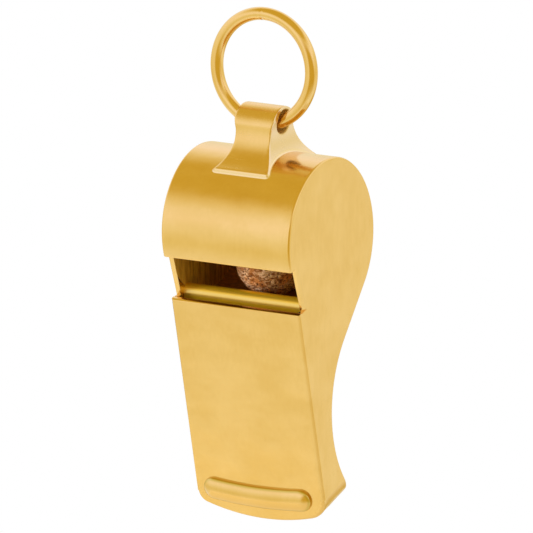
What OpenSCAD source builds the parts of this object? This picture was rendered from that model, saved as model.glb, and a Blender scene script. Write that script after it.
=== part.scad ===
// Pea whistle in gold, hanging by its ring: a round barrel with a flat mouthpiece below it.
// The origin is the inside top of the ring, where a cord or a finger holds it.
// +Z is up, -Y is the side with the sound window, and the barrel lies along X.

/* [Barrel] */
// Outside diameter of the barrel
barrel_d = 20; // [18:0.1:22]
// Width of the body over both side plates
body_w = 19.25; // [16:0.05:22]
// Thickness of the sheet that is bent round the body
wall = 0.8; // [0.6:0.05:1]
// Thickness of each side plate
side_t = 0.7; // [0.5:0.05:1]
// Angle of the blowing lip below the barrel's middle
lip_angle = 17.8; // [12:0.1:22]
// Radius of the back where it grows out of the barrel
haunch_r = 11.25; // [10.8:0.05:11.8]
// Angle above the barrel's middle where the back leaves the circle
haunch_angle = 59.5; // [50:0.5:70]

/* [Mouthpiece] */
// Distance from the barrel's middle to the line of the front plate
front_reach = 9.5; // [9:0.05:9.9]
// Lean of the front plate from the vertical
front_lean = 11.6; // [8:0.1:14]
// Top edge of the front plate, down its line from the level of the barrel
front_top = 7.03; // [6:0.05:8]
// Slope of the back where it runs straight into the mouthpiece
back_slope = 38.9; // [37:0.1:41]
// Depth of the mouthpiece's waist below the barrel's middle
waist_drop = 23.8; // [23:0.1:25]
// Thickness of the mouthpiece at its waist, front to back
neck_t = 4.6; // [4.2:0.05:5]
// Depth of the tip's lowest point below the barrel's middle
tip_drop = 38.3; // [36.5:0.1:40]
// Slope of the tip's end face, rising to the back
tip_slope = 18.6; // [12:0.1:24]
// Radius of the tip's curve across the mouthpiece
tip_bow_r = 28; // [22:0.5:40]
// Radius of the tip's two corners
tip_corner_r = 2.2; // [0.8:0.1:2.8]
// Thickness of the plate that closes the tip behind the windway
end_t = 0.8; // [0.5:0.05:1.2]

/* [Windway] */
// Height of the windway where the air leaves it
windway_gap = 1.15; // [0.9:0.05:1.3]
// Height of the windway at the tip
windway_tip_gap = 1.5; // [1.2:0.05:1.7]
// Thickness of the windway floor and the chamber floor
floor_t = 0.8; // [0.6:0.05:1]
// Radius of the rolled edge at the top of the windway floor
nose_r = 1.05; // [0.9:0.05:1.2]
// Middle of the rolled edge below the front plate's top edge, along the plate
nose_below = 0.16; // [0:0.02:0.6]
// Depth of the window's lower corner in the side plates, behind the front plate's face
window_notch = 1.3; // [1.1:0.05:1.8]
// Setback of the side plates' window edge behind the lip's inner face
window_set = 0.4; // [0.3:0.05:0.9]
// Angle above the barrel's middle where the chamber floor runs out at the back
floor_end_angle = 10; // [4:1:16]

/* [Bite ridge] */
// Length of the ridge across the mouthpiece
ridge_l = 16.1; // [13:0.1:17.2]
// Height of the ridge along the front plate
ridge_h = 3; // [2.2:0.1:3.4]
// How far the ridge stands out of the front plate
ridge_proud = 0.9; // [0.6:0.05:1.2]
// Radius of the ridge's rounded face
ridge_face_r = 2.2; // [2:0.1:3.5]
// Radius of the ridge's bow along its length
ridge_bow_r = 58; // [45:1:90]
// Distance from the ridge's middle to the tip, along the front plate
ridge_from_tip = 3.25; // [2.8:0.05:4.5]
// Place of the ridge's middle across the mouthpiece
ridge_x = -0.4; // [-0.5:0.1:0.5]

/* [Bail] */
// Height of the eye's middle above the top of the barrel
eye_above = 4.05; // [3.7:0.05:4.4]
// Diameter of the eye
eye_d = 3.1; // [3:0.05:3.3]
// Setback of the eye's middle behind the barrel's middle
eye_back = 0.15; // [0:0.05:0.3]
// Radius of the bail's rounded head
head_r = 2.83; // [2.6:0.02:3.1]
// Middle of the head's rounding below the middle of the eye
head_below = 0.85; // [0.65:0.05:1]
// Width of the head
head_w = 6; // [5.6:0.1:6.8]
// Width of the bail at its waist
bail_waist_w = 5.15; // [4.6:0.05:5.8]
// Height of the bail's waist above the top of the barrel
bail_waist_above = 2.4; // [2:0.1:2.8]
// Radius of the hollow on each side of the bail
side_hollow_r = 6.2; // [5.6:0.1:7]
// Width of the bail's foot
foot_w = 8.7; // [8:0.1:9.4]
// Reach of the foot to the front
foot_front = 6.05; // [5.6:0.05:6.3]
// Reach of the foot to the back
foot_back = 6.2; // [5.6:0.05:6.6]
// Radius of the hollow in the bail's front
front_hollow_r = 5.5; // [5.2:0.1:5.9]
// Height of the front hollow's middle above the head's middle
front_hollow_above = 0.35; // [0.2:0.05:0.6]
// Radius of the hollow in the bail's back
back_hollow_r = 10.7; // [10.2:0.1:11.2]
// Height of the back hollow's middle above the eye's middle
back_hollow_above = 3.7; // [3.4:0.05:4]
// Metal left between the eye and the back of the bail
eye_back_wall = 0.5; // [0.4:0.02:0.7]

/* [Ring] */
// Inside diameter of the ring
ring_in_d = 12.5; // [11.5:0.1:14]
// Thickness of the ring's wire
wire_d = 1.66; // [1.4:0.02:1.8]
// Gap between the wire and the eye where they come closest
ring_gap = 0.1; // [0.1:0.05:0.2]
// Lean of the ring to the back when the whistle is at rest
ring_lean = 3.1; // [0:0.1:6]
// Lead of the wire's lowest point in front of the eye's middle
wire_ahead = 0.42; // [0.2:0.02:0.5]

/* [Pea] */
// Diameter of the cork pea
pea_d = 9.4; // [7:0.1:9.6]
// Gap between the pea and the chamber's wall
pea_gap = 0.2; // [0.15:0.05:0.5]
// Place of the pea along the barrel
pea_x = 0.7; // [-3:0.1:3]

/* [Hidden] */
$fn = 96;

barrel_r = barrel_d / 2;
inner_w = body_w - 2 * side_t;
wire_r = wire_d / 2;
ring_r = ring_in_d / 2 + wire_r;
eye_r = eye_d / 2;
eye_rise = barrel_r + eye_above;
far = 2 * tip_drop;
// Length that the body's outlines run on below the tip before they are cut there
tip_spare = 2.5 * wall;
// Lap by which one curve of an outline crosses the next one, too small to see
lap = 0.012;

// A direction in the side view, by its angle from the back (+Y) towards the top (+Z)
function aim(a) = [cos(a), sin(a)];

// In the side view: the ring's middle, the wire's lowest point, the eye's middle, the barrel's middle
ring_up = aim(90 - ring_lean);
ring_c = -ring_in_d / 2 * ring_up;
wire_low = ring_c - ring_r * ring_up;
wire_below_eye = sqrt(pow(eye_r - wire_r - ring_gap, 2) - pow(wire_ahead, 2));
eye_c = wire_low + [wire_ahead, wire_below_eye];
barrel_c = eye_c - [eye_back, eye_rise];

// The front plate's line: out of its face, down along it, and its point nearest the barrel's middle
front_out = aim(180 + front_lean);
front_down = aim(front_lean - 90);
front_foot = front_reach * front_out;

// A point of the side view, a way down the front plate's line and a depth behind its outer face
function on_front(down, depth) = front_foot + down * front_down - depth * front_out;

// The back: an arc that touches the barrel, a straight run, and the waist's hollow arc
haunch_c = (barrel_r - haunch_r - lap) * aim(haunch_angle);
back_out = aim(-back_slope);
waist_front_y = on_front((waist_drop + front_foot[1]) / -front_down[1], 0)[0];
waist_back_y = waist_front_y + neck_t;
waist_r = (waist_back_y * back_out[0] - waist_drop * back_out[1] - haunch_c * back_out
  - haunch_r + lap) / (1 - back_out[0]);
waist_c = [waist_back_y + waist_r, -waist_drop];
// Angle round the waist's arc where it has passed the tip
waist_end_angle = 180 + 62;

// The tip's lowest point lies on the front plate's outer face
tip_down = (tip_drop + front_foot[1]) / -front_down[1];
tip_front = on_front(tip_down, 0);
tip_corner_x = body_w / 2 - tip_corner_r;
tip_corner_angle = asin(tip_corner_x / (tip_bow_r - tip_corner_r));
tip_corner_rise = tip_bow_r - (tip_bow_r - tip_corner_r) * cos(tip_corner_angle);

// The windway floor stands behind the front plate, and its rolled edge borders the chamber
nose_down = front_top + nose_below;
nose_c = on_front(nose_down, wall + windway_gap + nose_r);
floor_in = wall + windway_gap;
floor_in_tip = wall + windway_tip_gap;
floor_end_down = tip_down + tip_spare;

pea_r = pea_d / 2;
pea_orbit = barrel_r - wall - pea_gap - pea_r;

// Stands a side view on edge: its flat X runs to the back, its flat Y up, centred on the width w
module across(w) {
  rotate([90, 0, 90]) linear_extrude(w, center = true) children();
}

// Puts what is drawn round the barrel's middle at its place below the ring
module at_barrel() {
  translate([0, barrel_c[0], barrel_c[1]]) children();
}

// The body's side view, with every wall moved in by the inset and the tip left long
module body_outline(inset) {
  haunch_touch = haunch_c + (haunch_r - inset - lap) * back_out;
  waist_touch = waist_c - (waist_r + inset) * back_out;
  hollow_end = waist_c + (waist_r + inset) * aim(waist_end_angle);
  bottom = -tip_drop - tip_spare;
  front_end = on_front((-bottom + front_foot[1]) / -front_down[1], inset);
  circle(barrel_r - inset);
  intersection() {
    translate(haunch_c) circle(haunch_r - inset);
    polygon([
      haunch_c,
      haunch_c + far * aim(-back_slope - 20),
      haunch_c + far * aim(0),
      haunch_c + far * aim(haunch_angle)
    ]);
  }
  difference() {
    polygon([
      haunch_c, on_front(0, inset), front_end, [hollow_end[0], bottom], hollow_end,
      waist_touch, haunch_touch
    ]);
    translate(waist_c) circle(waist_r + inset + lap);
  }
}

// The sheet's section, between the outer side view and the one moved in by the wall
module sheet_section() {
  difference() {
    body_outline(0);
    body_outline(wall);
  }
}

// Everything ahead of the lip and of the mouthpiece's middle
module front_zone() {
  polygon([
    [0, 0], far * aim(180 + lip_angle), on_front(2 * far, -far),
    on_front(2 * far, neck_t / 2), on_front(front_top, neck_t / 2)
  ]);
}

// The window in a side plate's edge, from the lip down to the front plate's top
module window_edge() {
  lip_corner = (barrel_r - wall - window_set) * aim(180 + lip_angle);
  polygon([
    lip_corner, on_front(front_top, window_notch), on_front(front_top, -barrel_r),
    barrel_d * aim(180 + lip_angle)
  ]);
}

// The mouthpiece's shape face-on, with rounded corners and its lowest point at 0
module tip_shape() {
  translate([0, tip_bow_r]) intersection() {
    circle(tip_bow_r, $fn = 2 * $fn);
    polygon([[0, 0], far * aim(-90 - tip_corner_angle), far * aim(-90 + tip_corner_angle)]);
  }
  for (side = [-1, 1]) translate([side * tip_corner_x, tip_corner_rise]) circle(tip_corner_r - lap);
  translate([-body_w / 2, tip_corner_rise]) square([body_w, far]);
}

// The space over the tip's end face, which slopes up to the back
module tip_space() {
  translate([0, tip_front[0], tip_front[1]]) rotate([tip_slope, 0, 0]) rotate([90, 0, 0])
    linear_extrude(far, center = true) tip_shape();
}

module barrel_wrap() {
  color("goldenrod") at_barrel() intersection() {
    across(body_w) difference() {
      sheet_section();
      front_zone();
    }
    tip_space();
  }
}

module front_plate() {
  color("gold") at_barrel() intersection() {
    across(body_w) intersection() {
      sheet_section();
      front_zone();
      polygon([
        on_front(front_top, -wall), on_front(2 * tip_down, -wall),
        on_front(2 * tip_down, neck_t / 2), on_front(front_top, neck_t / 2)
      ]);
    }
    tip_space();
  }
}

module left_side_plate() {
  color("khaki") at_barrel() intersection() {
    translate([-(body_w - side_t) / 2, 0, 0]) across(side_t) difference() {
      body_outline(wall);
      window_edge();
    }
    tip_space();
  }
}

module right_side_plate() {
  color("khaki") mirror([1, 0, 0]) left_side_plate();
}

// The windway floor's section: a flat strip that ends in a rolled edge
module windway_floor_section() {
  translate(nose_c) circle(nose_r);
  polygon([
    on_front(nose_down, floor_in), on_front(floor_end_down, floor_in_tip),
    on_front(floor_end_down, floor_in_tip + floor_t), on_front(nose_down, floor_in + floor_t)
  ]);
}

module windway_floor() {
  color("darkgoldenrod") at_barrel() intersection() {
    across(inner_w) windway_floor_section();
    tip_space();
  }
}

// The strip that carries the barrel's circle on below the pea
module chamber_floor() {
  nose_angle = atan2(nose_c[1], nose_c[0]);
  color("peru") at_barrel() across(inner_w) difference() {
    intersection() {
      circle(barrel_r - wall + floor_t);
      body_outline(wall);
      polygon([
        [0, 0], far * aim(nose_angle), far * aim(nose_angle / 2), far * aim(floor_end_angle)
      ]);
    }
    circle(barrel_r - wall);
    windway_floor_section();
  }
}

// Closes the tip between the windway floor and the back
module tip_end_plate() {
  color("orange") at_barrel() difference() {
    intersection() {
      across(inner_w) intersection() {
        body_outline(wall);
        polygon([
          on_front(tip_down / 2, floor_in_tip + floor_t + (floor_in - floor_in_tip) / 2),
          on_front(floor_end_down, floor_in_tip + floor_t),
          on_front(floor_end_down, far), on_front(tip_down / 2, far)
        ]);
      }
      tip_space();
    }
    translate([0, 0, end_t]) tip_space();
  }
}

// Half of the ridge's section, moved in by the inset: a rounded face on straight sides
module ridge_half_section(inset) {
  intersection() {
    translate([0, ridge_proud - ridge_face_r]) circle(ridge_face_r - inset);
    square([ridge_h / 2 - inset, ridge_proud]);
  }
}

module bite_ridge() {
  bow_angle = (ridge_l - ridge_h) / ridge_bow_r * 180 / PI;
  seat = on_front(tip_down - ridge_from_tip, 0);
  color("wheat") at_barrel() translate([ridge_x, seat[0], seat[1]]) rotate([90 + front_lean, 0, 0])
    translate([0, ridge_bow_r, 0]) {
      rotate([0, 0, -90 - bow_angle / 2]) rotate_extrude(angle = bow_angle)
        translate([ridge_bow_r, 0]) {
          ridge_half_section(0);
          mirror([1, 0]) ridge_half_section(0);
        }
      for (side = [-1, 1]) rotate([0, 0, side * bow_angle / 2])
        translate([-side * lap, -ridge_bow_r, 0]) rotate([0, 0, -90 * side])
          rotate_extrude(angle = 180) ridge_half_section(lap);
    }
}

// The bail from the side: a rounded head on a neck that flares to the foot
module bail_side_view() {
  head_z = eye_rise - head_below;
  hollow_reach = head_r + front_hollow_r - lap;
  front_hollow_c = [
    -sqrt(pow(hollow_reach, 2) - pow(front_hollow_above, 2)), head_z + front_hollow_above
  ];
  back_hollow_c = [
    eye_back + eye_r + eye_back_wall + sqrt(pow(back_hollow_r, 2) - pow(back_hollow_above, 2)),
    eye_rise + back_hollow_above
  ];
  difference() {
    union() {
      translate([0, head_z]) circle(head_r);
      translate([-foot_front, 0]) square([foot_front + foot_back, head_z]);
    }
    translate(front_hollow_c) circle(front_hollow_r);
    translate(back_hollow_c) circle(back_hollow_r);
  }
}

// The bail from the front: wide at the head and wider at the foot
module bail_front_view() {
  top = eye_rise + head_r;
  waist_rise = barrel_r + bail_waist_above;
  difference() {
    translate([-foot_w / 2, 0]) square([foot_w, top]);
    for (side = [-1, 1]) {
      translate([side * (bail_waist_w / 2 + side_hollow_r), waist_rise]) circle(side_hollow_r);
      translate([side * (head_w + foot_w) / 2 - foot_w / 2, waist_rise]) square([foot_w, top]);
    }
  }
}

module bail() {
  color("gold") at_barrel() difference() {
    intersection() {
      across(foot_w) bail_side_view();
      rotate([90, 0, 0]) linear_extrude(4 * foot_back, center = true) bail_front_view();
    }
    across(2 * foot_w) body_outline(0);
    translate([0, eye_back, eye_rise]) rotate([0, 90, 0])
      cylinder(r = eye_r, h = 2 * foot_w, center = true);
  }
}

module ring() {
  color("gold") translate([0, ring_c[0], ring_c[1]]) rotate([90 - ring_lean, 0, 0])
    rotate_extrude() translate([ring_r, 0]) circle(wire_r);
}

module pea() {
  color("sienna") at_barrel() translate([pea_x, 0, -pea_orbit]) sphere(pea_r);
}

ring();
bail();
barrel_wrap();
left_side_plate();
right_side_plate();
front_plate();
bite_ridge();
windway_floor();
chamber_floor();
tip_end_plate();
pea();
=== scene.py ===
# %% [markdown]
# # A gold pea whistle with its hanging ring
# This file dresses the whistle's solid model for the camera. The solid model is
# loaded as a fixed frame: it says how big each piece is and what it moves with.
# Every piece is then made once more with soft, polished edges, and given a metal
# or cork that is worked out by the shader and not painted from a picture.

# %% Load the frame
import bpy
from math import acos, asin, atan2, cos, degrees, pi, radians, sin, sqrt
from mathutils import Matrix, Vector


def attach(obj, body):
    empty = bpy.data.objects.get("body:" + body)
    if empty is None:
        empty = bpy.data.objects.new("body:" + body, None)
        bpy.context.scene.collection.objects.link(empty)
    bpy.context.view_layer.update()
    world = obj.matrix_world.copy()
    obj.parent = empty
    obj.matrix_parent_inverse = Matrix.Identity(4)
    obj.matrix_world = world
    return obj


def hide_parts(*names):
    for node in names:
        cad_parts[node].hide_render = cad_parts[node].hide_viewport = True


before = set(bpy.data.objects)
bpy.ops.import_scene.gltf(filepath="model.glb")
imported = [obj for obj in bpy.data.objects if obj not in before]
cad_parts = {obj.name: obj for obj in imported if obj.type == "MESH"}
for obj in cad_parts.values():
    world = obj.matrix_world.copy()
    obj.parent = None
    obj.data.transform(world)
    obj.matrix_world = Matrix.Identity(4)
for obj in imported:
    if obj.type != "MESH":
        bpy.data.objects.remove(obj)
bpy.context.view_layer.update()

bpy.ops.object.select_all(action="DESELECT")

# %% [markdown]
# ## Sizes
# The pieces are drawn in millimetres round the middle of the barrel, because
# that is how a maker would set out the side view. Y runs to the back and Z runs
# up. Only at the end is a piece made 1000 times smaller and moved to its place,
# since Blender's unit is the metre and the frame starts at the ring's inside
# top. It is made a hair smaller than that, so that no piece reaches past the
# solid model.

# %% Sizes of the body
BARREL_R = 10.0
BODY_W = 19.25
WALL = 0.8
SIDE_T = 0.7
INNER_W = BODY_W - 2 * SIDE_T
LIP_ANGLE = 17.8
MM = 0.0009997
print("width between the side plates:", INNER_W, "mm")


def aim(a):
    """A direction in the side view, by its angle in degrees from the back towards the top."""
    return Vector((cos(radians(a)), sin(radians(a))))


# %% Where the ring, the eye and the barrel lie below the ring's inside top
RING_R, WIRE_R, RING_LEAN, RING_GAP, WIRE_AHEAD = 7.08, 0.83, 3.1, 0.1, 0.42
EYE_R, EYE_BACK, EYE_RISE = 1.55, 0.15, 14.05
RING_UP = aim(90 - RING_LEAN)
RING_C = -(RING_R - WIRE_R) * RING_UP
WIRE_LOW = RING_C - RING_R * RING_UP
EYE_C = WIRE_LOW + Vector((WIRE_AHEAD, sqrt((EYE_R - WIRE_R - RING_GAP) ** 2 - WIRE_AHEAD ** 2)))
BARREL_C = EYE_C - Vector((EYE_BACK, EYE_RISE))
print("the barrel's middle is", round(-BARREL_C.y, 2), "mm below the ring's inside top")

# %% Points in the side view
FRONT_LEAN, FRONT_REACH, FRONT_TOP = 11.6, 9.5, 7.03
FRONT_OUT, FRONT_DOWN = aim(180 + FRONT_LEAN), aim(FRONT_LEAN - 90)


def on_front(down, depth):
    """A point down the front plate's line, at a depth behind its outer face."""
    return FRONT_REACH * FRONT_OUT + down * FRONT_DOWN - depth * FRONT_OUT


# %% The curves of the back
HAUNCH_R, HAUNCH_ANGLE, BACK_SLOPE = 11.24, 59.5, 38.9
HAUNCH_C = (BARREL_R - HAUNCH_R) * aim(HAUNCH_ANGLE)
BACK_OUT = aim(-BACK_SLOPE)
WAIST_DROP, NECK_T = 23.8, 4.6
TIP_DROP, TIP_SLOPE = 38.3, 18.6


def down_front(drop):
    """How far down the front plate's line a point lies that is so far below the barrel's middle."""
    return (drop - FRONT_REACH * sin(radians(FRONT_LEAN))) / cos(radians(FRONT_LEAN))


waist_back = Vector((on_front(down_front(WAIST_DROP), 0).x + NECK_T, -WAIST_DROP))
WAIST_R = (waist_back.dot(BACK_OUT) - HAUNCH_C.dot(BACK_OUT) - HAUNCH_R) / (1 - BACK_OUT.x)
WAIST_C = Vector((waist_back.x + WAIST_R, -WAIST_DROP))
TIP_DOWN = down_front(TIP_DROP)
TIP_FRONT = on_front(TIP_DOWN, 0)
print("radius of the waist:", round(WAIST_R, 2), "mm; tip at", TIP_FRONT)

# %% [markdown]
# ## A pen for side views
# Sheet metal is bent along its length, so its side view is a chain of straight
# runs and arcs. The pen starts as one vertex. A straight run extrudes that
# vertex and an arc spins it round a centre, which gives true tangents. The
# closed outline is filled and extruded across the whistle. A curve object with
# a bevel would also do, but its corners are harder to keep to a size.


# %% The pen
MERGE = 0.002


def pen_down(name, start):
    """Starts a new piece as one vertex, and returns the piece."""
    bpy.ops.object.select_all(action="DESELECT")
    bpy.ops.mesh.primitive_plane_add(size=1)
    piece = bpy.context.object
    piece.name = piece.data.name = name
    bpy.ops.object.mode_set(mode="EDIT")
    bpy.ops.mesh.select_mode(type="VERT")
    bpy.ops.mesh.select_all(action="SELECT")
    bpy.ops.mesh.merge(type="CENTER")
    bpy.ops.transform.translate(value=(0, start[0], start[1]))
    return piece


def line(here, there):
    """Extrudes the pen's vertex in a straight run."""
    bpy.ops.mesh.extrude_region_move(
        TRANSFORM_OT_translate={"value": (0, there[0] - here[0], there[1] - here[1])})


def arc(centre, start, end, steps):
    """Spins the pen's vertex round a centre, from one angle to another."""
    turn = radians(start - end)
    bpy.ops.mesh.spin(steps=steps, angle=turn, center=(0, centre[0], centre[1]), axis=(1, 0, 0))


def trace(name, start, runs):
    """Draws a whole outline: each run is a point, or a centre with two angles and a number of steps."""
    piece = pen_down(name, start)
    here = Vector(start)
    for run in runs:
        if len(run) == 2:
            line(here, run)
            here = Vector(run)
        else:
            centre, a, b, steps = run
            arc(centre, a, b, steps)
            here = Vector(centre) + (here - Vector(centre)).length * aim(b)
    bpy.ops.mesh.select_all(action="SELECT")
    bpy.ops.mesh.remove_doubles(threshold=MERGE)
    return piece


# %% Fill an outline
def fill_and_extrude(width):
    """Fills the outline that is being edited and gives it a width across the whistle."""
    bpy.ops.mesh.edge_face_add()
    bpy.ops.mesh.extrude_region_move(TRANSFORM_OT_translate={"value": (width, 0, 0)})
    bpy.ops.mesh.select_all(action="SELECT")
    bpy.ops.transform.translate(value=(-width / 2, 0, 0))
    bpy.ops.mesh.normals_make_consistent(inside=False)
    bpy.ops.object.mode_set(mode="OBJECT")


# %% Work on one piece at a time
def only(piece):
    """Makes one piece the only selected and active one."""
    bpy.ops.object.select_all(action="DESELECT")
    piece.select_set(True)
    bpy.context.view_layer.objects.active = piece


def settle(piece):
    """Puts a piece's turn and place into its mesh."""
    only(piece)
    bpy.ops.object.transform_apply(location=True, rotation=True, scale=True)


def show(piece):
    """Prints how many faces a piece has."""
    print(piece.name, "has", len(piece.data.polygons), "faces")


# %% Cut a piece, and make a block to cut with
def modify(piece, kind, **settings):
    """Adds one modifier with its settings and applies it."""
    only(piece)
    m = piece.modifiers.new(kind, kind)
    for key, value in settings.items():
        setattr(m, key, value)
    bpy.ops.object.modifier_apply(modifier=m.name)


def carve(piece, tool, how="DIFFERENCE"):
    """Cuts a piece with another one."""
    modify(piece, "BOOLEAN", object=tool, operation=how, solver="EXACT")
    bpy.data.objects.remove(tool)


def block(name, size, middle):
    """A plain block to cut from or to cut with."""
    bpy.ops.object.select_all(action="DESELECT")
    bpy.ops.mesh.primitive_cube_add(size=1, location=middle)
    b = bpy.context.object
    b.name = name
    b.scale = size
    settle(b)
    return b


# %% [markdown]
# ## The tool that rounds the tip
# The mouthpiece ends in one shallow bow with two rounded corners, and its end
# face slopes up to the back. All the plates that reach the tip are cut with the
# same tool, so that they end flush, as they do when a maker files them together.


# %% Make the tip tool
TIP_BOW_R, TIP_LEFT_R, TIP_RIGHT_R = 28.0, 1.7, 3.2
TOOL_HALF, TOOL_DEEP, TOOL_LONG = 16, 9, 60


def tip_corner(side, radius):
    """The middle of a tip corner, and the bow's angle where the corner's arc begins."""
    x = BODY_W / 2 - radius
    turn = asin(x / (TIP_BOW_R - radius))
    return Vector((side * x, TIP_BOW_R - (TIP_BOW_R - radius) * cos(turn))), degrees(turn)


def tip_tool():
    """A block below the tip, whose upper side is the tip's outline."""
    left, left_turn = tip_corner(-1, TIP_LEFT_R)
    right, right_turn = tip_corner(1, TIP_RIGHT_R)
    tool = trace("tip_tool", (-TOOL_HALF, left.y), [
        (-BODY_W / 2, left.y),
        (left, 180, 270 - left_turn, 12),
        (Vector((0, TIP_BOW_R)), 270 - left_turn, 270 + right_turn, 40),
        (right, 270 + right_turn, 360, 12),
        (TOOL_HALF, right.y), (TOOL_HALF, -TOOL_DEEP), (-TOOL_HALF, -TOOL_DEEP),
    ])
    fill_and_extrude(TOOL_LONG)
    tool.rotation_euler = (0, 0, -pi / 2)
    settle(tool)
    tool.rotation_euler = (radians(TIP_SLOPE), 0, 0)
    tool.location = (0, TIP_FRONT.x, TIP_FRONT.y)
    settle(tool)
    return tool


# %% [markdown]
# ## The bent sheet
# One strip of gold makes the blowing lip, the top of the barrel, the back and
# the back of the mouthpiece. Its outer and inner outlines share their centres,
# so the wall has one thickness. A solid block with a hole would look the same
# from far off, but the lip and the window show how thin the metal is.

# %% Inner side of the back
BARREL_STEPS, BACK_STEPS = 72, 44
HOLLOW_END = 242
MIDDLE = Vector((0, 0))
inner_back_end = WAIST_C + (WAIST_R + WALL) * aim(HOLLOW_END)
inner_back = [
    (WAIST_C, HOLLOW_END, 180 - BACK_SLOPE, BACK_STEPS),
    HAUNCH_C + (HAUNCH_R - WALL) * BACK_OUT,
    (HAUNCH_C, -BACK_SLOPE, HAUNCH_ANGLE, BACK_STEPS),
]

# %% Bend the sheet
lip = 180 + LIP_ANGLE
barrel_wrap = trace("barrel_wrap_gold", BARREL_R * aim(lip), [
    (MIDDLE, lip, HAUNCH_ANGLE, BARREL_STEPS),
    (HAUNCH_C, HAUNCH_ANGLE, -BACK_SLOPE, BACK_STEPS),
    WAIST_C - WAIST_R * BACK_OUT,
    (WAIST_C, 180 - BACK_SLOPE, HOLLOW_END, BACK_STEPS),
    inner_back_end,
    *inner_back,
    (MIDDLE, HAUNCH_ANGLE, lip, BARREL_STEPS),
])
fill_and_extrude(BODY_W)
carve(barrel_wrap, tip_tool())
show(barrel_wrap)

# %% [markdown]
# ## Rounded edges
# A buffing wheel rounds gold quickly, the sheet's rim by more than a third of the
# wall, and each edge by its own amount. A bevel that reads a weight from each
# edge does this in one pass. The weights are written to the mesh as an attribute,
# each edge's radius over the largest one. Along a smooth outline the radius may
# only change little by little, or the bevel's corners fly off.


# %% Round the edges
def round_edges(piece, radius_at):
    """Rounds the sharp edges. radius_at gives an edge's radius by its two ends."""
    only(piece)
    bpy.ops.object.mode_set(mode="EDIT")
    bpy.ops.mesh.select_mode(type="EDGE")
    bpy.ops.mesh.select_all(action="DESELECT")
    bpy.ops.mesh.edges_select_sharp(sharpness=radians(30))
    bpy.ops.object.mode_set(mode="OBJECT")
    mesh = piece.data
    radii = {e.index: radius_at(*(mesh.vertices[v].co for v in e.vertices)) for e in mesh.edges if e.select}
    most = max(radii.values())
    weights = mesh.attributes.new("bevel_weight_edge", "FLOAT", "EDGE").data
    for edge, radius in radii.items():
        weights[edge].value = radius / most
    modify(piece, "BEVEL", width=most, segments=4, limit_method="WEIGHT", use_clamp_overlap=False,
           miter_outer="MITER_ARC")


# %% Soften a piece of sheet
def smooth(piece, sharpest):
    """Shades a piece smooth, apart from edges that are sharper than an angle in degrees."""
    only(piece)
    bpy.ops.object.shade_smooth_by_angle(angle=radians(sharpest))


def soften(piece, radius_at):
    """Rounds the edges as buffing does, and keeps the flat faces flat to the light."""
    round_edges(piece, radius_at)
    smooth(piece, 40)
    modify(piece, "WEIGHTED_NORMAL", keep_sharp=True, weight=100)


def in_side_view(*ends):
    """The middle of an edge in the side view, and whether it runs across the whistle."""
    a, b = (Vector((e.y, e.z)) for e in ends)
    return (a + b) / 2, (a - b).length < 0.02


# %% Soften the sheet
LIP_CORNER, LIP_SOFT, RIM_SOFT = 0.25, 0.24, 0.32


def depth_in_sheet(p):
    """How deep a point of the side view lies behind the sheet's outer face."""
    if p.angle_signed(aim(HAUNCH_ANGLE)) % (2 * pi) < radians(lip - HAUNCH_ANGLE + 1):
        return BARREL_R - p.length
    if (p - HAUNCH_C).dot(aim(-BACK_SLOPE + 90)) > 0:
        return HAUNCH_R - (p - HAUNCH_C).length
    if (p - WAIST_C).dot(aim(-BACK_SLOPE + 90)) < 0:
        return (p - WAIST_C).length - WAIST_R
    return HAUNCH_R - (p - HAUNCH_C).dot(BACK_OUT)


def sheet_radius(a, b):
    """The outer rim is rounded, the lip a little less, and the rim round the plates not at all."""
    p, runs_across = in_side_view(a, b)
    at_lip = p.length < BARREL_R + 0.1 and abs(p.dot(aim(lip + 90))) < 0.05
    if at_lip and not runs_across:
        return LIP_CORNER
    if depth_in_sheet(p) > 0.1:
        return 0
    return LIP_SOFT if at_lip else RIM_SOFT


soften(barrel_wrap, sheet_radius)
show(barrel_wrap)

# %% [markdown]
# ## The side plates
# A flat plate closes each side. It sits inside the bent sheet and lies flush
# with it, and the solder line between them is polished away. The plate's front
# edge is the side of the sound window, and dips in a small notch behind the
# front plate. On the right a file has sloped the plate down to a thin edge
# there, which is cut with a turned block.

# %% Edge of a side plate at the window
WINDOW_NOTCH, WINDOW_SET, WINDOW_SOFT = 1.3, 0.4, 0.15
RIM = BARREL_R - WALL
window_top, window_foot = (RIM - WINDOW_SET) * aim(lip), on_front(FRONT_TOP, WINDOW_NOTCH)


def window_radius(a, b):
    """Only the edge at the window is rounded, where it isn't filed. The rim is flush with the sheet."""
    p, runs_across = in_side_view(a, b)
    below_lip = p.length < RIM + 3 and p.dot(aim(lip + 90)) > 0.1
    in_front = p.dot(FRONT_OUT) > 0 and p.y < -2 and p.dot(FRONT_DOWN) < FRONT_TOP + 0.02
    filed = a.x > BODY_W / 2 - 0.4
    return WINDOW_SOFT if below_lip and in_front and not runs_across and not filed else 0


# %% Block that files the right plate thin at the window
SLOPE_DEPTH, SLOPE_ANGLE, SLOPE_TILT = 0.3, 30, 0.6
FILE_W, FILE_T = 4, 6


def window_slope():
    """A block along the window's edge, turned so that one face slopes down to that edge."""
    down = (window_foot - window_top).normalized()
    thin_edge = (window_top + window_foot) / 2
    tool = block("window_slope", (FILE_W, FILE_T, (window_foot - window_top).length), (FILE_W / 2, 0, 0))
    tool.rotation_euler = (0, radians(SLOPE_TILT), radians(-SLOPE_ANGLE))
    settle(tool)
    tool.rotation_euler = (atan2(down.x, -down.y), 0, 0)
    tool.location = (BODY_W / 2 - SLOPE_DEPTH, thin_edge.x, thin_edge.y)
    settle(tool)
    return tool


# %% Cut the side plates
PAST_TIP = 3


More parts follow.
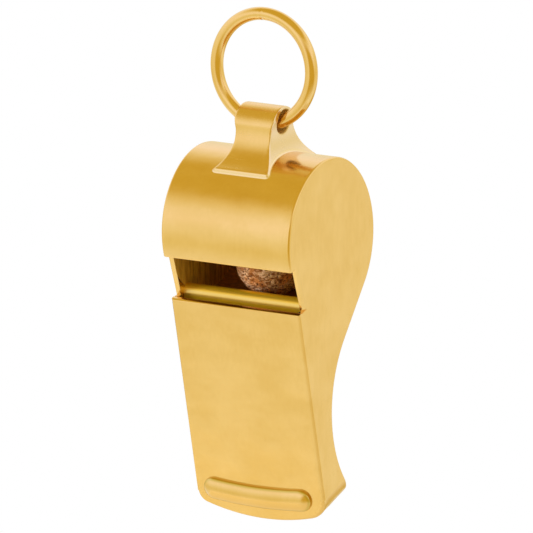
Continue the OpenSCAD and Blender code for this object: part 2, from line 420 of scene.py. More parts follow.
def side_plate(name, side):
    """One side plate, on the left (-1) or the right (1)."""
    plate = trace(name, RIM * aim(lip), [
        window_top,
        window_foot,
        on_front(FRONT_TOP, WALL),
        on_front(TIP_DOWN + PAST_TIP, WALL),
        inner_back_end,
        *inner_back,
        (MIDDLE, HAUNCH_ANGLE, lip, BARREL_STEPS),
    ])
    fill_and_extrude(SIDE_T)
    plate.location = (side * (BODY_W - SIDE_T) / 2, 0, 0)
    settle(plate)
    carve(plate, tip_tool())
    if side > 0:
        carve(plate, window_slope())
    soften(plate, window_radius)
    show(plate)
    return plate


left_plate = side_plate("left_side_plate_gold", -1)
right_plate = side_plate("right_side_plate_gold", 1)

# %% [markdown]
# ## The front plate
# The front plate covers the windway and is as wide as the whole body. All its
# outer edges are rounded. The right edge is worn three times as round as the left
# one, so the radius grows evenly across the plate.

# %% Cut the front plate
front_plate = trace("front_plate_gold", on_front(FRONT_TOP, 0), [
    on_front(FRONT_TOP, WALL),
    on_front(TIP_DOWN + PAST_TIP, WALL),
    on_front(TIP_DOWN + PAST_TIP, 0),
])
fill_and_extrude(BODY_W)
carve(front_plate, tip_tool())
show(front_plate)

# %% Soften the front plate, more and more from left to right
BACK_SOFT, FRONT_SOFT, SOFTER_RIGHT = 0.2, 0.38, 0.02


def front_radius(a, b):
    """The outer face's edges are rounded, and so is the back edge at the window."""
    p, runs_across = in_side_view(a, b)
    if FRONT_REACH - p.dot(FRONT_OUT) > 0.1:
        return BACK_SOFT if runs_across and p.dot(FRONT_DOWN) < FRONT_TOP + 0.1 else 0
    return FRONT_SOFT + SOFTER_RIGHT * (a.x + b.x) / 2


soften(front_plate, front_radius)
show(front_plate)

# %% [markdown]
# ## Inside the mouthpiece
# Behind the front plate runs the windway. Its floor ends in a rolled edge that
# splits the air at the window. Below the pea a curved strip carries on the
# barrel's circle, and a small plate closes the tip behind the windway. Each is
# a traced outline again, because each is bent or flat sheet.

# %% Windway floor with its rolled edge
WINDWAY_GAP, WINDWAY_TIP_GAP, FLOOR_T, NOSE_R, NOSE_BELOW = 1.15, 1.5, 0.8, 1.05, 0.16
NOSE_DOWN, FLOOR_DOWN = FRONT_TOP + NOSE_BELOW, TIP_DOWN + 2
NOSE_C = on_front(NOSE_DOWN, WALL + WINDWAY_GAP + NOSE_R)
floor_front = WALL + WINDWAY_TIP_GAP
floor_back = floor_front + FLOOR_T
roll_end = FRONT_LEAN + degrees(acos((NOSE_R - FLOOR_T) / NOSE_R))
windway_floor = trace("windway_floor_gold", on_front(FLOOR_DOWN, floor_front), [
    on_front(NOSE_DOWN, WALL + WINDWAY_GAP),
    (NOSE_C, 180 + FRONT_LEAN, roll_end - 180, 64),
    on_front(FLOOR_DOWN, floor_back),
])
fill_and_extrude(INNER_W)
carve(windway_floor, tip_tool())
smooth(windway_floor, 30)
show(windway_floor)

# %% Chamber floor, thinned where it meets the back
STRIP_T, STRIP_END_T, STRIP_END, STRIP_THINS, NOSE_LAP = 0.75, 0.38, 10, -13, 5
strip_start = degrees(atan2(NOSE_C.y, NOSE_C.x)) + NOSE_LAP
chamber_floor = trace("chamber_floor_gold", RIM * aim(strip_start), [
    (MIDDLE, strip_start, STRIP_END, 60),
    (RIM + STRIP_END_T) * aim(STRIP_END),
    (RIM + STRIP_T) * aim(STRIP_THINS),
    (MIDDLE, STRIP_THINS, strip_start, 46),
])
fill_and_extrude(INNER_W)
smooth(chamber_floor, 30)
show(chamber_floor)

# %% Plate that closes the tip
END_T, END_RISE, END_TURN = 0.8, 9, 194
tip_end = trace("tip_end_plate_gold", on_front(TIP_DOWN - END_RISE, floor_back), [
    on_front(FLOOR_DOWN, floor_back),
    inner_back_end,
    (WAIST_C, HOLLOW_END, END_TURN, 24),
])
fill_and_extrude(INNER_W)
carve(tip_end, tip_tool())
upper = tip_tool()
upper.location = (0, 0, END_T)
settle(upper)
carve(tip_end, upper, "INTERSECT")
smooth(tip_end, 30)
show(tip_end)

# %% [markdown]
# ## The bite ridge
# A rounded bar is soldered across the mouthpiece so that the teeth can hold it.
# Its section is drawn once. Spinning it round a far centre gives the slight bow,
# and spinning half of it round its own middle gives each round end.

# %% Half of the ridge's section
RIDGE_L, RIDGE_H, RIDGE_PROUD, RIDGE_FACE_R = 16.1, 3.0, 0.9, 2.2
RIDGE_SOFT, RIDGE_SUNK = 0.3, 0.3


def half_section(name):
    """Half of the ridge's section, from its crest to its foot, drawn upright at the middle."""
    face_c = Vector((0, RIDGE_PROUD - RIDGE_FACE_R))
    soft_y = RIDGE_H / 2 - RIDGE_SOFT
    turn = degrees(acos(soft_y / (RIDGE_FACE_R - RIDGE_SOFT)))
    soft_c = face_c + (RIDGE_FACE_R - RIDGE_SOFT) * aim(turn)
    return trace(name, (0, RIDGE_PROUD), [
        (face_c, 90, turn, 8),
        (soft_c, turn, 0, 6),
        (RIDGE_H / 2, -RIDGE_SUNK),
    ])


# %% Sweep the ridge
RIDGE_BOW_R = 58.0
bow = (RIDGE_L - RIDGE_H) / RIDGE_BOW_R
end_x, end_y = RIDGE_BOW_R * sin(bow / 2), -RIDGE_BOW_R * cos(bow / 2)


def spin_mesh(steps, angle):
    """Spins the whole mesh that is being edited round the upright axis, and leaves edit mode."""
    bpy.ops.mesh.select_all(action="SELECT")
    bpy.ops.mesh.spin(steps=steps, angle=angle, center=(0, 0, 0), axis=(0, 0, 1))
    bpy.ops.object.mode_set(mode="OBJECT")


ridge_parts = []
for half in (-1, 1):
    arm = half_section("ridge_arm")
    bpy.ops.object.mode_set(mode="OBJECT")
    arm.scale = (1, half, 1)
    settle(arm)
    arm.rotation_euler = (0, 0, bow / 2)
    arm.location = (end_x, end_y, 0)
    settle(arm)
    bpy.ops.object.mode_set(mode="EDIT")
    spin_mesh(28, bow)
    end = half_section("ridge_end")
    spin_mesh(16, half * pi)
    end.rotation_euler = (0, 0, half * bow / 2)
    end.location = (half * end_x, end_y, 0)
    settle(end)
    ridge_parts += [arm, end]
print("parts of the ridge:", len(ridge_parts))

# %% Join the ridge and seat it on the front plate
RIDGE_FROM_TIP, RIDGE_X = 3.25, -0.4


def merge_all(pieces):
    """Joins pieces, closes their shared seams and turns their faces outwards."""
    bpy.ops.object.select_all(action="DESELECT")
    for p in pieces:
        p.select_set(True)
    bpy.context.view_layer.objects.active = pieces[0]
    bpy.ops.object.join()
    bpy.ops.object.mode_set(mode="EDIT")
    bpy.ops.mesh.select_all(action="SELECT")
    bpy.ops.mesh.remove_doubles(threshold=MERGE)
    bpy.ops.mesh.normals_make_consistent(inside=False)
    bpy.ops.object.mode_set(mode="OBJECT")
    return pieces[0]


bite_ridge = merge_all(ridge_parts)
bite_ridge.name = bite_ridge.data.name = "bite_ridge_gold"
bite_ridge.location = (0, RIDGE_BOW_R, 0)
settle(bite_ridge)
bite_ridge.rotation_euler = (radians(90 + FRONT_LEAN), 0, 0)
seat = on_front(TIP_DOWN - RIDGE_FROM_TIP, 0)
bite_ridge.location = (RIDGE_X, seat.x, seat.y)
settle(bite_ridge)
bpy.ops.object.shade_smooth()
show(bite_ridge)

# %% [markdown]
# ## The bail
# The bail is a small casting with a flared foot and a rounded head. It is the
# space that two outlines share, one seen from the side and one from the front.
# The barrel and the eye are then cut out of it. The head is drawn a hair too
# large, because the polishing that follows wears it down.

# %% Sizes of the bail
HEAD_R, HEAD_Z, HEAD_W, HEAD_MELT = 2.83, 13.2, 6.0, 0.05
FOOT_FRONT, FOOT_BACK, FOOT_W, FOOT_Z, FOOT_SOFT, FOOT_SUNK = 6.05, 6.2, 8.7, 5, 0.6, 0.3
FRONT_HOLLOW_R, FRONT_HOLLOW_ABOVE = 5.5, 0.35
BACK_HOLLOW_R, BACK_HOLLOW_ABOVE, EYE_BACK_WALL = 11.4, 3.7, 0.7
BAIL_WAIST_W, BAIL_WAIST_Z, SIDE_HOLLOW_R = 5.3, 12.4, 6.2
front_hollow_y = -sqrt((HEAD_R + FRONT_HOLLOW_R) ** 2 - FRONT_HOLLOW_ABOVE ** 2)
back_hollow_y = EYE_BACK + EYE_R + EYE_BACK_WALL + sqrt(BACK_HOLLOW_R ** 2 - BACK_HOLLOW_ABOVE ** 2)
print("the bail's hollows lie at", round(front_hollow_y, 2), "and", round(back_hollow_y, 2), "mm")


# %% Round bar to cut with
def rod(name, radius, length, middle, along="x"):
    """A round bar to cut with, along X or Y."""
    turn = (0, pi / 2, 0) if along == "x" else (pi / 2, 0, 0)
    bpy.ops.object.select_all(action="DESELECT")
    bpy.ops.mesh.primitive_cylinder_add(vertices=160, radius=radius, depth=length,
                                        location=middle, rotation=turn)
    b = bpy.context.object
    b.name = name
    settle(b)
    return b


# %% Carve the bail
CUT_L, TRIM_W, TRIM_L, TRIM_H = 12, 4, 20, 8
bail = block("bail_gold", (FOOT_W, FOOT_FRONT + FOOT_BACK, HEAD_Z - FOOT_Z),
             (0, (FOOT_BACK - FOOT_FRONT) / 2, (HEAD_Z + FOOT_Z) / 2))
round_edges(bail, lambda a, b: FOOT_SOFT if (a - b).xy.length < 0.01 else 0)
carve(bail, rod("head", HEAD_R + HEAD_MELT, FOOT_W, (0, 0, HEAD_Z)), "UNION")
carve(bail, rod("front_hollow", FRONT_HOLLOW_R, CUT_L, (0, front_hollow_y, HEAD_Z + FRONT_HOLLOW_ABOVE)))
carve(bail, rod("back_hollow", BACK_HOLLOW_R, CUT_L, (0, back_hollow_y, EYE_RISE + BACK_HOLLOW_ABOVE)))
for side in (-1, 1):
    hollow = (side * (BAIL_WAIST_W / 2 + SIDE_HOLLOW_R), 0, BAIL_WAIST_Z)
    carve(bail, rod("side_hollow", SIDE_HOLLOW_R, TRIM_L, hollow, along="y"))
    above = (side * (HEAD_W / 2 + TRIM_W / 2), 0, BAIL_WAIST_Z + TRIM_H / 2)
    carve(bail, block("side_trim", (TRIM_W, TRIM_L, TRIM_H), above))
carve(bail, rod("barrel", BARREL_R - FOOT_SUNK, CUT_L, MIDDLE.to_3d()))
carve(bail, rod("eye", EYE_R, CUT_L, (0, EYE_BACK, EYE_RISE)))
show(bail)

# %% [markdown]
# ## The polished bail
# A fine voxel remesh with some smoothing melts all the bail's edges together, as
# polishing does on a casting. Bevels would break up where so many curved cuts
# meet. A round bed just below the barrel's face joins the bail first, so that
# its foot flows into the barrel as solder does. What is left over of the bed is
# cut off, inside and at its ends.

# %% Melt the edges, and the foot into the barrel
BED_SUNK, BED_T, BED_L, VOXEL = 0.035, 0.4, 13, 0.08
KEEP_SIZE, KEEP_MIDDLE = (11, 14.6, 20), (0, -0.1, 15.5)
carve(bail, rod("solder_bed", BARREL_R - BED_SUNK, BED_L, MIDDLE.to_3d()), "UNION")
modify(bail, "REMESH", mode="VOXEL", voxel_size=VOXEL)
modify(bail, "SMOOTH", factor=0.5, iterations=40)
carve(bail, rod("inside", BARREL_R - BED_T, TRIM_L, MIDDLE.to_3d()))
carve(bail, block("keep", KEEP_SIZE, KEEP_MIDDLE), "INTERSECT")
only(bail)
bpy.ops.object.shade_smooth()
show(bail)

# %% [markdown]
# ## The ring
# The ring is drawn wire that was bent round and closed with solder. A circle is
# spun nearly all the way round, and the last bit of the way makes the seam. The
# seam's middle loop is a little thinner, which leaves a hair line across the wire.

# %% Spin the ring
SEAM, SEAM_THIN, SEAM_IN, SEAM_TURN = radians(1.6), 0.95, 0.04, 92


def spin_wire(angle, steps=1):
    """Carries the end of the wire on round the ring's middle."""
    bpy.ops.mesh.spin(steps=steps, angle=angle, center=(0, 0, 0), axis=(0, 1, 0))


bpy.ops.object.select_all(action="DESELECT")
bpy.ops.mesh.primitive_circle_add(vertices=56, radius=WIRE_R, location=(RING_R, 0, 0))
ring = bpy.context.object
ring.name = ring.data.name = "ring_gold"
settle(ring)
bpy.ops.object.mode_set(mode="EDIT")
bpy.ops.mesh.select_all(action="SELECT")
spin_wire(2 * pi - SEAM, steps=180)
spin_wire(SEAM / 2)
bpy.ops.transform.resize(value=(SEAM_THIN, SEAM_THIN, SEAM_THIN))
bpy.ops.transform.translate(value=(SEAM_IN, 0, 0))
spin_wire(SEAM / 2)
bpy.ops.transform.translate(value=(-SEAM_IN, 0, 0))
bpy.ops.transform.resize(value=(1 / SEAM_THIN, 1 / SEAM_THIN, 1 / SEAM_THIN))

# %% Close the ring and turn its seam
bpy.ops.mesh.select_all(action="SELECT")
bpy.ops.mesh.remove_doubles(threshold=0.01)
bpy.ops.mesh.normals_make_consistent(inside=False)
bpy.ops.object.mode_set(mode="OBJECT")
ring.rotation_euler = (0, radians(-SEAM_TURN), 0)
settle(ring)
bpy.ops.object.shade_smooth()
show(ring)

# %% [markdown]
# ## The pea
# The pea is a ball of cork. It starts as a fine ball of triangles, and a small
# random push with some smoothing after it gives the uneven, fuzzy outline.

# %% Roughen the cork ball
PEA_R, PEA_GAP, PEA_X = 4.7, 0.2, 0.7
CORK_SHRINK, CORK_LUMPS, CORK_FUZZ = 0.05, 0.16, 0.02
bpy.ops.object.select_all(action="DESELECT")
bpy.ops.mesh.primitive_ico_sphere_add(subdivisions=6, radius=PEA_R - CORK_SHRINK)
pea = bpy.context.object
pea.name = pea.data.name = "pea_cork"
bpy.ops.object.mode_set(mode="EDIT")
bpy.ops.mesh.select_all(action="SELECT")
bpy.ops.transform.vertex_random(offset=CORK_LUMPS, uniform=0, normal=1, seed=7)
bpy.ops.mesh.vertices_smooth(factor=0.5, repeat=3)
bpy.ops.transform.vertex_random(offset=CORK_FUZZ, uniform=0, normal=1, seed=11)
bpy.ops.object.mode_set(mode="OBJECT")
bpy.ops.object.shade_smooth()
pea.location = (PEA_X, 0, -(RIM - PEA_GAP - PEA_R))
settle(pea)
show(pea)

# %% [markdown]
# ## Into place
# The pieces were drawn in millimetres round the barrel's middle, and the ring
# round its own. One step makes each of them small and moves it down from the
# ring's inside top. That goes into its mesh, so the object itself stays at the
# origin, as the solids' objects do.


# %% Put every piece in its place
def place(piece, middle):
    """Makes a piece small and moves the middle that it was drawn round to its place, in metres."""
    piece.location = (0, middle.x / 1000, middle.y / 1000)
    piece.scale = (MM, MM, MM)
    settle(piece)
    print(piece.name, "reaches down to", round(1000 * min(v.co.z for v in piece.data.vertices), 2), "mm")


ring.rotation_euler = (radians(-RING_LEAN), 0, 0)
place(ring, RING_C)
for piece in (barrel_wrap, left_plate, right_plate, front_plate, windway_floor, chamber_floor, tip_end,
              bite_ridge, bail, pea):
    place(piece, BARREL_C)

# %% [markdown]
# ## Writing shaders as sums
# A shader is a graph of nodes, which is slow to read as a list of links. A small
# class wraps one output, and its plus, minus, times and abs add the Math nodes.
# Any other node comes from one method, which takes its settings and sockets.


# %% Stops of a colour ramp
def set_stops(ramp, stops):
    """Gives a colour ramp its stops, each a place from 0 to 1 and a colour."""
    while len(ramp) < len(stops):
        ramp.new(1.0)
    for stop, (at, colour) in zip(ramp, stops):
        stop.position, stop.color = at, (*colour, 1)


# %% Sockets that add and multiply
class Wire:
    """One output of a node, with arithmetic."""

    def __init__(self, tree, out=None):
        self.tree, self.out = tree, out

    def node(self, kind, settings=(), out=0, **values):
        """Adds a node with settings and with values or links of its sockets, and returns one output."""
        n = self.tree.nodes.new(kind)
        for key, value in dict(settings).items():
            if key == "stops":
                set_stops(n.color_ramp.elements, value)
            else:
                setattr(n, key, value)
        for key, value in values.items():
            socket = n.inputs[int(key[1:]) if key[1:].isdigit() else key.replace("_", " ")]
            if isinstance(value, Wire):
                self.tree.links.new(value.out, socket)
            else:
                socket.default_value = value
        return Wire(self.tree, n.outputs[out])

    def output(self, name):
        """Another output of the same node."""
        return Wire(self.tree, self.out.node.outputs[name])

    def maths(self, how, a, b=0.0):
        """A Math node on two wires or numbers."""
        return self.node("ShaderNodeMath", {"operation": how}, i0=a, i1=b)

    def __add__(self, other):
        return self.maths("ADD", self, other)

    def __radd__(self, other):
        return self.maths("ADD", other, self)

    def __sub__(self, other):
        return self.maths("SUBTRACT", self, other)

    def __rsub__(self, other):
        return self.maths("SUBTRACT", other, self)

    def __mul__(self, other):
        return self.maths("MULTIPLY", self, other)

    def __rmul__(self, other):
        return self.maths("MULTIPLY", other, self)

    def __abs__(self):
        return self.maths("ABSOLUTE", self)

    def between(self, low, high):
        """0 at low, 1 at high, and a straight ramp between them that stops at both."""
        return self.node("ShaderNodeMapRange", {"clamp": True}, Value=self, From_Min=low, From_Max=high)

    def mix(self, none, full):
        """A colour between two, where this wire is the share of the second."""
        none, full = (c if isinstance(c, Wire) else (*c, 1) for c in (none, full))
        return self.node("ShaderNodeMix", {"data_type": "RGBA"}, out=2, i0=self, i6=none, i7=full)


# %% Patterns
def stretch(spot, scale, turn=(0, 0, 0)):
    """The place on the object, stretched and turned, so that a pattern on it runs its own way."""
    return spot.node("ShaderNodeMapping", Vector=spot, Rotation=turn, Scale=scale)


def noise(spot, scale, detail, roughness=0.5):
    """A cloudy pattern."""
    return spot.node("ShaderNodeTexNoise", Vector=spot, Scale=scale, Detail=detail, Roughness=roughness)


# %% Start a material
def new_material(name):
    """An empty material with its shader, and a wire to the place on the object in millimetres."""
    m = bpy.data.materials.new(name)
    m.use_nodes = True
    shader = m.node_tree.nodes["Principled BSDF"]
    start = Wire(m.node_tree).node("ShaderNodeTexCoord", out="Object")
    return m, shader, stretch(start, (1000, 1000, 1000))


def connect(shader, name, wire):
    """Links a wire to a socket of the shader."""
    wire.tree.links.new(wire.out, shader.inputs[name])


# %% [markdown]
# ## Polished gold
# Worn gold is not a mirror. A buffing wheel leaves a soft sheen, with hair-fine
# lines that run mostly one way, and a slow unevenness of the sheet bends its
# reflections. Handling adds a few longer scratches. All of this is small, so it
# goes into the roughness and a shallow bump, and only a trace into the colour.

# %% Make a gold
GOLD, DEEP_GOLD = (0.855, 0.572, 0.192), (0.805, 0.52, 0.150)
SATIN, GRAIN, WAVE, BUMP_DEPTH = 0.19, 0.008, 1.6, 0.0001


def gold(name, colour=GOLD, deep=DEEP_GOLD, roughness=SATIN, grain=GRAIN, wave=WAVE):
    """A gold with its two tones and its sheen, and with how deep its hair lines and slow waves are."""
    m, shader, spot = new_material(name)
    lines = noise(stretch(spot, (4.0, 4.0, 0.45)), 1.0, 4.0, 0.6)
    cloud = noise(spot, 0.16, 2.0)
    streak = noise(stretch(spot, (0.25, 1.0, 0.55), (0.6, 0.2, 0.1)), 0.7, 3.0, 0.55)
    rub = noise(stretch(spot, (0.09, 0.9, 0.9), (0.2, 0.9, 0.5)), 1.6, 5.0, 0.6).between(0.62, 0.74)
    tone = (cloud * 0.45 + streak * 0.3 + lines * 0.25).between(0.40, 0.60).mix(deep, colour)
    sheen = roughness + (lines - 0.5) * 0.08 + (streak - 0.5) * 0.12 + rub * 0.08
    height = lines * grain + cloud * wave + streak * 0.14 - rub * 0.03
    connect(shader, "Normal", spot.node("ShaderNodeBump", Height=height, Strength=0.5, Distance=BUMP_DEPTH))
    shader.inputs["Metallic"].default_value = 1.0
    return m, shader, spot, tone, sheen


def finish_gold(m, shader, tone, sheen):
    """Gives the gold its tone and sheen, and returns the finished material."""
    connect(shader, "Base Color", tone)
    connect(shader, "Roughness", sheen)
    print("made", m.name, "of", len(m.node_tree.nodes), "nodes")
    return m


# %% Measure where a spot lies in the side view
def from_axis(spot, centre):
    """How far a spot is from an axis that runs across the whistle."""
    moved = spot.node("ShaderNodeMapping", Vector=spot, Scale=(0, 1, 1), Location=(0, -centre.x, -centre.y))
    return moved.node("ShaderNodeVectorMath", {"operation": "LENGTH"}, out="Value", i0=moved)


def how_far(spot, direction, start):
    """How far a spot lies in a direction from a starting point."""
    settings = {"operation": "DOT_PRODUCT"}
    reach = spot.node("ShaderNodeVectorMath", settings, out="Value", i0=spot, i1=(0, *direction))
    return reach - direction.dot(start)


# %% [markdown]
# ## Gold of the sheets
# Outside, the sheets are satin gold. Inside the barrel, where no wheel reaches,
# they are rougher and less metallic, and their colour is painted shade: dark
# orange-brown with smears on the curved wall, lighter and yellower on the flat
# plates, which the window lights. The shader knows the inside by the distance
# from the barrel's middle, so that one material can do for a whole sheet.

# %% Give the sheets their gold
PLATE_X = INNER_W / 2
m, shader, spot, tone, sheen = gold("satin_gold_sheet")
across = abs(spot.node("ShaderNodeSeparateXYZ", Vector=spot))
between_plates = across.between(PLATE_X + 0.045, PLATE_X + 0.015)
within = from_axis(spot, BARREL_C).between(RIM + 0.25, RIM + 0.1) * between_plates
smears = noise(stretch(spot, (1.2, 2.6, 0.25)), 1.0, 4.0, 0.65).between(0.38, 0.62)
# Painted shade inside the barrel: dark brown on the wall, lighter and yellower on the side plates' inner
# faces
wall_painted_shade = smears.mix((0.45, 0.19, 0.03), (0.62, 0.29, 0.05))
plate_painted_shade = smears.mix((0.62, 0.34, 0.03), (1.0, 0.64, 0.11))
inside_painted_shade = across.between(PLATE_X - 0.025, PLATE_X - 0.005).mix(wall_painted_shade, plate_painted_shade)
gold_sheet = finish_gold(m, shader, within.mix(tone, inside_painted_shade), sheen + within * 0.4)
connect(shader, "Metallic", 1 - within * 0.45)

# %% [markdown]
# ## Gold of the bite ridge
# The ridge's foot, in a band just above the front plate, is darker: painted
# shade where the ridge meets the plate. One dot product gives the height above
# the plate, so no mask has to be painted.

# %% Give the ridge its gold
BAND_TOP, BAND_FULL = 0.58, 0.46
m, shader, spot, tone, sheen = gold("satin_gold_ridge")
# Painted shade: the ridge's foot is darker where it meets the front plate
foot_painted_shade = (how_far(spot, FRONT_OUT, BARREL_C) - FRONT_REACH).between(BAND_TOP, BAND_FULL)
gold_ridge = finish_gold(m, shader, foot_painted_shade.mix(tone, (0.68, 0.48, 0.12)), sheen)

# %% [markdown]
# ## Gold of the windway floor
# The rolled edge faces the lamp through the window. A highlight is painted
# along its crest as a pale tone, and the metal beside the crest is painted deep
# yellow. It was never polished, so it is rough, and less of a mirror than the rest.

# %% Give the windway floor its gold
HIGHLIGHT_ABOVE = 0.4
m, shader, spot, tone, sheen = gold("dull_gold_inside", (0.82, 0.59, 0.17), (0.78, 0.55, 0.14), 0.32, 0.003)
below = how_far(spot, FRONT_DOWN, BARREL_C + NOSE_C)
# Painted highlight: a pale tone on the crest, deep yellow beside it
beside_painted_highlight = abs(below + HIGHLIGHT_ABOVE).between(0.1, 0.6) * below.between(3.0, 1.5)
gold_inside = finish_gold(m, shader, beside_painted_highlight.mix(tone, (1.0, 0.64, 0.02)), sheen)
shader.inputs["Metallic"].default_value = 0.72
shader.inputs["Specular IOR Level"].default_value = 0.0

# %% [markdown]
# ## Gold of the ring and of the bail
# Drawn wire is smooth and takes the brightest polish. The casting's polish is
# softer. Its sides and a band round its foot are painted paler, as painted
# highlights. The inside of the eye, which no wheel reaches, is rougher, less
# metallic and a little darker. The shader tells the sides by their normal, and
# the other two by how far they are from the barrel's middle and from the eye's.

# %% Give the ring its gold
m, shader, spot, tone, sheen = gold("drawn_gold_wire", roughness=0.13, grain=0.003, wave=0.4)
gold_wire = finish_gold(m, shader, tone, sheen)

# %% Give the bail its gold
SIDE_HIGHLIGHT_TONE, FOOT_HIGHLIGHT_TONE, EYE_TONE = (0.87, 0.66, 0.37), (0.88, 0.66, 0.31), (0.76, 0.52, 0.15)
m, shader, spot, tone, sheen = gold("buffed_gold_casting", roughness=0.25, wave=0.4)
normal = spot.node("ShaderNodeTexCoord", out="Normal")
# Painted highlight: the sides, told by their normal, are paler
side_painted_highlight = abs(spot.node("ShaderNodeSeparateXYZ", Vector=normal)).between(0.55, 0.9)
# Painted highlight: a paler band round the foot, where it meets the barrel
foot_painted_highlight = from_axis(spot, BARREL_C).between(BARREL_R + 0.42, BARREL_R + 0.3)
in_eye = from_axis(spot, EYE_C).between(EYE_R + 0.2, EYE_R + 0.1)
tone = in_eye.mix(foot_painted_highlight.mix(side_painted_highlight.mix(tone, SIDE_HIGHLIGHT_TONE), FOOT_HIGHLIGHT_TONE), EYE_TONE)
gold_cast = finish_gold(m, shader, tone, sheen + in_eye * 0.35)
connect(shader, "Metallic", 1 - in_eye * 0.5)

# %% [markdown]
# ## Cork
# The ball is pressed cork that has rubbed on metal for years: short fibres in
# pinkish tan and brown over darker pits. One noise is stretched into fibres and
# a finer one makes the pits. Both also feed the bump, so that the lamp from the
# side catches them.

# %% Make the cork
PINK_TAN, PALE_TAN = (0.72, 0.28, 0.08), (0.88, 0.57, 0.33)
BARK, PIT = (0.28, 0.09, 0.02), (0.10, 0.03, 0.01)
FIBRE_DEPTH = 0.00025
cork, shader, spot = new_material("fibrous_cork")
fibre = noise(stretch(spot, (1.0, 1.6, 2.6), (0.3, 0.5, 0.0)), 1.6, 6.0, 0.72)
pits = noise(spot, 2.8, 4.0, 0.65)
tan = noise(spot, 0.6, 3.0).between(0.42, 0.58).mix(PINK_TAN, PALE_TAN)
connect(shader, "Base Color", pits.between(0.36, 0.46).mix(PIT, fibre.between(0.42, 0.56).mix(BARK, tan)))
shader.inputs["Roughness"].default_value = 0.9
shader.inputs["Specular IOR Level"].default_value = 0.2
rough = spot.node("ShaderNodeBump", Height=fibre + pits * 1.4, Strength=0.9, Distance=FIBRE_DEPTH)
connect(shader, "Normal", rough)
print("made", cork.name, "of", len(cork.node_tree.nodes), "nodes")

# %% [markdown]
# ## Who moves with whom
# Each piece is hung on the body that carries it and gets its finish, and
# the solid that it stands for is hidden.

# %% Give each piece its finish and its body, and hide the solid that it stands for
for piece, node, body, slot, finish in (
    (ring, "ring", "hanger", "gold_wire", gold_wire),
    (bail, "bail", "casing", "gold_cast", gold_cast),
    (barrel_wrap, "barrel_wrap", "casing", "gold_sheet", gold_sheet),
    (left_plate, "left_side_plate", "casing", "gold_sheet", gold_sheet),
    (right_plate, "right_side_plate", "casing", "gold_sheet", gold_sheet),
    (front_plate, "front_plate", "casing", "gold_sheet", gold_sheet),
    (bite_ridge, "bite_ridge", "casing", "gold_sheet", gold_ridge),
    (windway_floor, "windway_floor", "casing", "gold_sheet", gold_inside),
    (chamber_floor, "chamber_floor", "casing", "gold_sheet", gold_sheet),
    (tip_end, "tip_end_plate", "casing", "gold_sheet", gold_sheet),
    (pea, "pea", "ball", "cork", cork),
):
    piece.data.materials.append(finish)
    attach(piece, body)
    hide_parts(node)
    print(piece.name, "stands for", node)

# %% [markdown]
# ## Studio
# Metal shows what is round it, so the studio is a bright tent. The ceiling is a
# warm, darker tone, and so are a gap in the tent low on the right and the part
# below and behind the whistle. The barrel's top and the bail show the ceiling as
# deep gold, and the rounded front edge shows the gap as a fine darker line. A
# soft lamp from the left lights the cork and the inside. It is hidden from
# reflections, so that no bright disc shows in the metal.

# %% Floor
FLOOR_SIZE, FLOOR_Z = 0.24, -0.16
bpy.ops.object.select_all(action="DESELECT")
bpy.ops.mesh.primitive_plane_add(size=FLOOR_SIZE, location=(0, 0, FLOOR_Z))
floor = bpy.context.object
floor.name = "floor"
floor_paint = bpy.data.materials.new("pale_floor")
floor_paint.use_nodes = True
paper = floor_paint.node_tree.nodes["Principled BSDF"]
paper.inputs["Base Color"].default_value = (0.8, 0.8, 0.8, 1)
paper.inputs["Roughness"].default_value = 0.9
floor.data.materials.append(floor_paint)
print("the floor lies", -FLOOR_Z, "m below the ring's inside top")

# %% Soft lamp, low on the left in front
LAMP_FAR, LAMP_SIZE, LAMP_WATTS = 0.6, 0.25, 4.2
towards_lamp = Vector((-0.85, -0.50, 0.14)).normalized()
lit_spot = Vector((0, 0, -0.03))
bpy.ops.object.light_add(type="AREA", location=LAMP_FAR * towards_lamp + lit_spot)
lamp = bpy.context.object
lamp.name = "soft_lamp"
lamp.rotation_euler = towards_lamp.to_track_quat("Z", "Y").to_euler()
lamp.data.shape, lamp.data.size, lamp.data.energy = "DISK", LAMP_SIZE, LAMP_WATTS
lamp.visible_glossy = False
print("lamp at", lamp.location)

# %% Tones of the tent, from low to high
CEILING = (0.72, 0.565, 0.13)
TENT_LOW, TENT_HIGH = -0.7, 0.9
tones = (
    (-0.60, (1.03, 1.08, 1.25)),
    (-0.42, (0.98, 0.975, 0.92)),
    (-0.20, (0.91, 0.87, 0.62)),
    (-0.05, (0.96, 0.94, 0.80)),
    (0.15, (1.03, 1.05, 1.12)),
    (0.36, (1.13, 1.15, 1.52)),
    (0.50, (1.08, 1.10, 1.35)),
    (0.60, (1.00, 0.99, 0.98)),
    (0.70, (0.90, 0.82, 0.54)),
    (0.78, CEILING),
)
stops = [((height - TENT_LOW) / (TENT_HIGH - TENT_LOW), tone) for height, tone in tones]

# %% Hang the tent round the whistle
world = bpy.data.worlds.new("studio")
bpy.context.scene.world = world
world.use_nodes = True
sky = Wire(world.node_tree).node("ShaderNodeTexCoord", out="Generated")
x = sky.node("ShaderNodeSeparateXYZ", Vector=sky)
y, z = x.output("Y"), x.output("Z")
ramp = sky.node("ShaderNodeValToRGB", {"stops": stops}, Fac=(z - 0.2 * y).between(TENT_LOW, TENT_HIGH))
gap = (0.60 * x - 0.75 * y - 0.28 * z).between(0.62, 0.82) * z.between(-0.70, -0.30)
under = (0.6 * y - 0.8 * z).between(0.75, 0.92)
tent = gap.maths("MAXIMUM", gap, under).mix(ramp, CEILING)
print("stops of the tent:", len(stops))

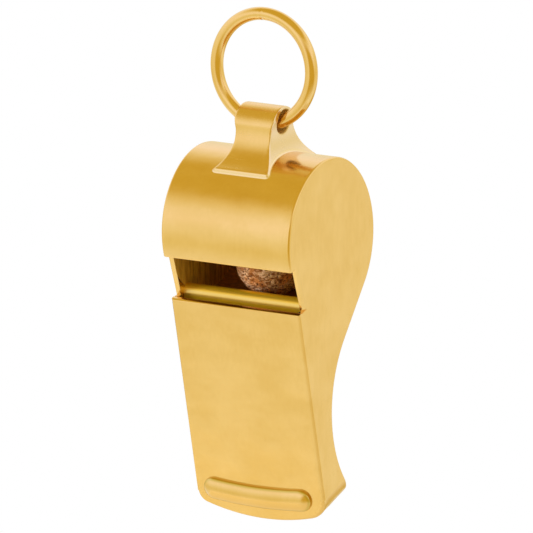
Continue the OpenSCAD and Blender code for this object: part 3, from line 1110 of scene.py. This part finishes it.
# %% Show white behind the whistle to the camera alone
camera_ray = sky.node("ShaderNodeLightPath", out="Is Camera Ray")
around = sky.node("ShaderNodeBackground", Color=tent, Strength=1.0)
white = sky.node("ShaderNodeBackground", Color=(1, 1, 1, 1), Strength=1.0)
both = sky.node("ShaderNodeMixShader", i0=camera_ray, i1=around, i2=white)
world.node_tree.links.new(both.out, world.node_tree.nodes["World Output"].inputs["Surface"])
print("the studio has", len(world.node_tree.nodes), "nodes")

# %% [markdown]
# ## Camera
# The camera stands about 32 degrees round to the right and 14 degrees up, far
# off with a long lens, and is tipped by one degree. Its numbers are not round,
# because they were fitted to where the barrel, the front plate and the ring lie
# in the reference picture.

# %% Directions of the camera
AZIMUTH, ELEVATION, ROLL = radians(32.26245), radians(13.92106), radians(-1.04853)
back = Vector((sin(AZIMUTH) * cos(ELEVATION), -cos(AZIMUTH) * cos(ELEVATION), sin(ELEVATION)))
right = (-back).cross(Vector((0, 0, 1))).normalized()
up = right.cross(-back)
right, up = right * cos(ROLL) + up * sin(ROLL), up * cos(ROLL) - right * sin(ROLL)
print("the camera looks along", -back)

# %% Set the camera so that the barrel's middle falls on its place in the picture
DISTANCE, FOCAL_PX, IMAGE_PX = 1.2800572, 10037.7683, 533
MIDDLE_PX = (266.53248, 226.69369)
aside = (MIDDLE_PX[0] - IMAGE_PX / 2) * DISTANCE / FOCAL_PX
upward = -(MIDDLE_PX[1] - IMAGE_PX / 2) * DISTANCE / FOCAL_PX
barrel_spot = Vector((0, BARREL_C.x / 1000, BARREL_C.y / 1000))
camera_spot = barrel_spot - aside * right - upward * up + DISTANCE * back
bpy.ops.object.camera_add()
camera = bpy.context.object
camera.name = "camera"
camera.matrix_world = Matrix.Translation(camera_spot) @ Matrix((right, up, back)).transposed().to_4x4()
camera.data.lens = FOCAL_PX / IMAGE_PX * camera.data.sensor_width
bpy.context.scene.camera = camera
bpy.context.scene.view_settings.view_transform = "Standard"
print("lens:", round(camera.data.lens, 1), "mm")
